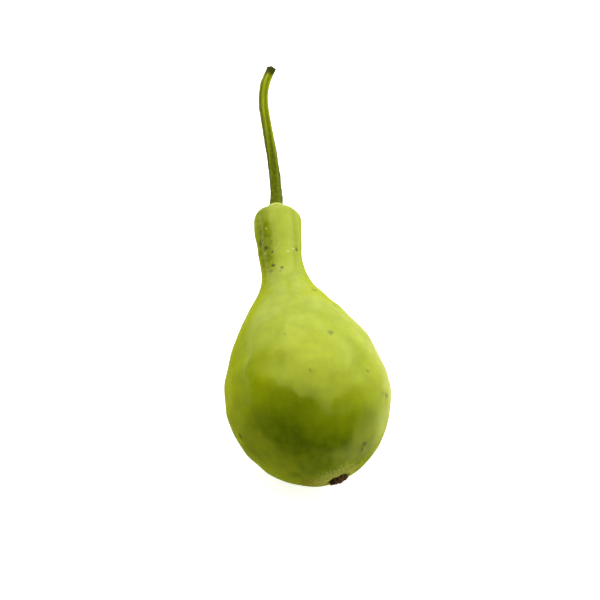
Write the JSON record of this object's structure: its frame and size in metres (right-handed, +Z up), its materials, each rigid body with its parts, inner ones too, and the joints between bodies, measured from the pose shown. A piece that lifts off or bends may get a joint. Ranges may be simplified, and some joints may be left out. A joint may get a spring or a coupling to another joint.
{
  "type": "bottle gourd",
  "caption": "Young bottle gourd with a round bulb, a slim neck ending in a small head, a long ridged stalk and a corky blossom scar, lying on its belly.",
  "frame": {"origin": "middle of the flat spot under the bulb that the gourd rests on", "axes": "+Z up from the surface it lies on, +Y along the gourd from the blossom end to the stalk, +X to the right of that"},
  "size_m": [0.107, 0.3307, 0.1052],
  "materials": {
    "rind": "satin, pale yellow-green skin with faint mottling and scuffs",
    "stalk": "matt, green ridged stem with a brown cut end",
    "scar": "matt, dark brown cork"
  },
  "bodies": {
    "root": {"fruit": "rind", "stalk": "stalk", "blossom_scar": "scar"}
  },
  "joints": []
}
